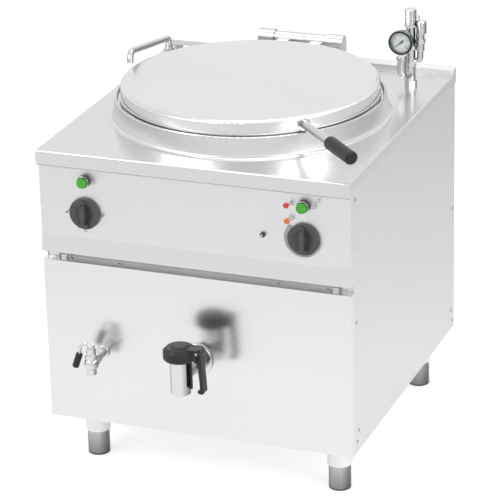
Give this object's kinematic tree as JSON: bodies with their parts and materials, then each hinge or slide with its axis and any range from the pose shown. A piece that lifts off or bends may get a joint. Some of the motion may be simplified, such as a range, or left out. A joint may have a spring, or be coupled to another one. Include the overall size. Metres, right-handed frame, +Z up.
{
  "type": "steam jacketed kettle",
  "caption": "Free-standing jacketed boiling kettle in a square stainless cabinet with a hinged round lid, swivel filling spout, front drain tap, level cock and pressure safety group",
  "frame": {"origin": "on the floor, under the middle of the worktop", "axes": "+Z up, -Y to the front where the controls and taps are, +X to the right as seen from the front"},
  "size_m": [0.8187, 1.0022, 1.0513],
  "materials": {
    "steel": "satin brushed stainless steel sheet",
    "frame_steel": "mill finish stainless tube",
    "vessel_steel": "fine ground stainless steel",
    "chrome": "polished plated brass",
    "screw": "bright stainless fasteners",
    "black_grip": "moulded heatproof grip",
    "black_knob": "moulded knob, fine texture",
    "black_tap": "moulded tap handle and cap",
    "green_button": "moulded button",
    "red_lens": "lamp lens",
    "orange_lens": "lamp lens",
    "wool": "mineral wool blanket",
    "switch": "moulded switch body",
    "brass": "cast brass valve",
    "dial": "painted dial plate",
    "glass": "flat gauge glass",
    "needle": "painted pointer",
    "bezel": "pressed steel gauge case",
    "grey_plastic": "moulded grey plastic",
    "foot_steel": "turned stainless foot",
    "heater": "heater sheath"
  },
  "bodies": {
    "cabinet": {"base_frame": "frame_steel", "bottom_tray": "steel", "side_panel_left": "steel", "side_panel_right": "steel", "side_screws": "screw", "rear_panel": "steel", "worktop": "steel", "control_panel": "steel", "front_panel": "steel", "panel_screws": "screw", "inner_vessel": "vessel_steel", "jacket_shell": "vessel_steel", "insulation": "wool", "heating_elements": "heater", "drain_pipe": "vessel_steel", "drain_strainer": "vessel_steel", "hinge_blocks": "steel", "hinge_shaft": "screw", "balance_springs": "screw", "spout_base": "chrome", "selector_switch": "switch", "energy_regulator": "switch", "button_collars": "switch", "contact_blocks": "switch", "lamp_red": "red_lens", "lamp_orange": "orange_lens", "safety_thermostat": "switch", "safety_manifold": "chrome", "gauge_case": "bezel", "gauge_dial": "dial", "gauge_glass": "glass", "safety_valve": "chrome", "vacuum_breaker": "chrome", "cock_body": "chrome", "tap_body": "chrome", "tap_cap": "black_tap", "tap_pin": "screw", "inlet_valves": "brass", "terminal_box": "grey_plastic"},
    "lid": {"lid_shell": "steel", "lid_liner": "vessel_steel", "lid_handle_rod": "chrome", "lid_handle_grip": "black_grip", "lid_hinge_tube": "steel"},
    "spout": {"spout_tube": "chrome"},
    "selector": {"selector_knob": "black_knob"},
    "regulator": {"regulator_knob": "black_knob"},
    "left_button": {"button_left": "green_button"},
    "right_button": {"button_right": "green_button"},
    "reset": {"reset_button": "grey_plastic"},
    "needle": {"gauge_needle": "needle"},
    "valve_cap": {"safety_valve_cap": "chrome"},
    "cock": {"cock_lever": "chrome", "cock_sleeve": "black_grip"},
    "drain_handle": {"tap_handle": "black_tap"},
    "drain_plunger": {"tap_plunger": "chrome"},
    "front_left_foot": {"foot_front_left": "foot_steel"},
    "front_right_foot": {"foot_front_right": "foot_steel"},
    "rear_left_foot": {"foot_rear_left": "foot_steel"},
    "rear_right_foot": {"foot_rear_right": "foot_steel"}
  },
  "joints": [
    {"name": "lid_hinge", "type": "hinge", "parent": "cabinet", "child": "lid", "pos_m": [0, 0.3703, 0.922], "axis": [-1, 0, 0], "range_deg": [0, 85]},
    {"name": "spout_swivel", "type": "hinge", "parent": "cabinet", "child": "spout", "pos_m": [-0.375, 0.372, 0.87], "axis": [0, 0, 1], "range_deg": [-90, 8]},
    {"name": "selector_turn", "type": "hinge", "parent": "cabinet", "child": "selector", "pos_m": [-0.2785, -0.414, 0.697], "axis": [0, 1, 0], "range_deg": [0, 270]},
    {"name": "regulator_turn", "type": "hinge", "parent": "cabinet", "child": "regulator", "pos_m": [0.2825, -0.414, 0.697], "axis": [0, 1, 0], "range_deg": [0, 300]},
    {"name": "left_button_press", "type": "slide", "parent": "cabinet", "child": "left_button", "axis": [0, 1, 0], "range_m": [0, 0.004], "stiffness_N_per_m": 500},
    {"name": "right_button_press", "type": "slide", "parent": "cabinet", "child": "right_button", "axis": [0, 1, 0], "range_m": [0, 0.004], "stiffness_N_per_m": 500},
    {"name": "reset_press", "type": "slide", "parent": "cabinet", "child": "reset", "axis": [0, 1, 0], "range_m": [0, 0.003], "stiffness_N_per_m": 200},
    {"name": "needle_turn", "type": "hinge", "parent": "cabinet", "child": "needle", "pos_m": [0.3024, 0.273, 0.9714], "axis": [0, 1, 0], "range_deg": [0, 270], "stiffness_Nm_per_rad": 0.002},
    {"name": "valve_cap_turn", "type": "hinge", "parent": "cabinet", "child": "valve_cap", "pos_m": [0.318, 0.3, 1.006], "axis": [0, 0, 1], "range_deg": [0, 90]},
    {"name": "cock_turn", "type": "hinge", "parent": "cabinet", "child": "cock", "pos_m": [-0.248, -0.486, 0.3753], "axis": [0, 0, 1], "range_deg": [0, 90]},
    {"name": "drain_handle_swing", "type": "hinge", "parent": "cabinet", "child": "drain_handle", "pos_m": [0.0496, -0.521, 0.4208], "axis": [0, -1, 0], "range_deg": [0, 90]},
    {"name": "drain_plunger_lift", "type": "slide", "parent": "cabinet", "child": "drain_plunger", "axis": [0, 0, 1], "range_m": [0, 0.012]},
    {"name": "front_left_foot_height", "type": "slide", "parent": "cabinet", "child": "front_left_foot", "axis": [0, 0, -1], "range_m": [0, 0.03]},
    {"name": "front_right_foot_height", "type": "slide", "parent": "cabinet", "child": "front_right_foot", "axis": [0, 0, -1], "range_m": [0, 0.03]},
    {"name": "rear_left_foot_height", "type": "slide", "parent": "cabinet", "child": "rear_left_foot", "axis": [0, 0, -1], "range_m": [0, 0.03]},
    {"name": "rear_right_foot_height", "type": "slide", "parent": "cabinet", "child": "rear_right_foot", "axis": [0, 0, -1], "range_m": [0, 0.03]}
  ],
  "couplings": [
    {"joint": "drain_plunger_lift", "follows": "drain_handle_swing", "m_per_rad": 0.007639}
  ]
}
